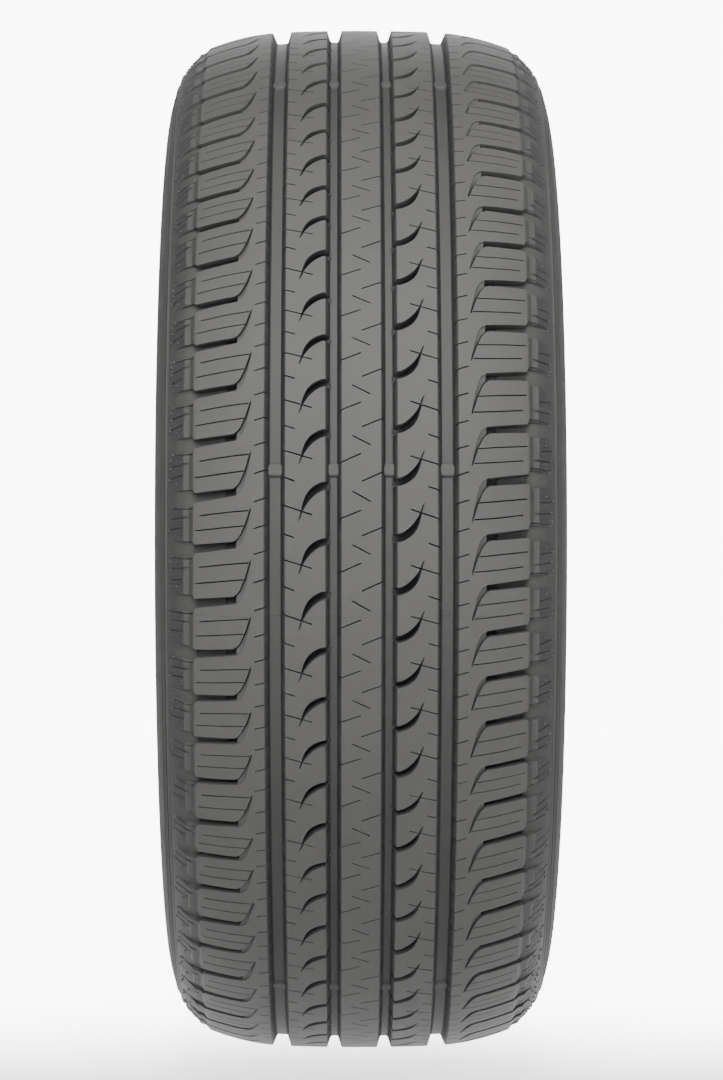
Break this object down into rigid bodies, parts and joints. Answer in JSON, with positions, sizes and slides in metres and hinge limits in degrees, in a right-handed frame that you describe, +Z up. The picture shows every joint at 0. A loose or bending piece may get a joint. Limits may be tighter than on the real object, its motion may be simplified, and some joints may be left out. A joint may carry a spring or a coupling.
{
  "type": "car tyre",
  "caption": "Tubeless radial passenger car tyre with four straight circumferential grooves and lateral shoulder slots.",
  "frame": {"origin": "centre of the wheel, on the axle line, midway between the beads", "axes": "+Y along the axle, +Z up with the tyre upright as on a car, +X towards the pictured side of the tread"},
  "size_m": [0.7374, 0.269, 0.7376],
  "materials": {
    "tyre_rubber": "satin moulded rubber"
  },
  "bodies": {
    "root": {"tyre": "tyre_rubber"}
  },
  "joints": []
}
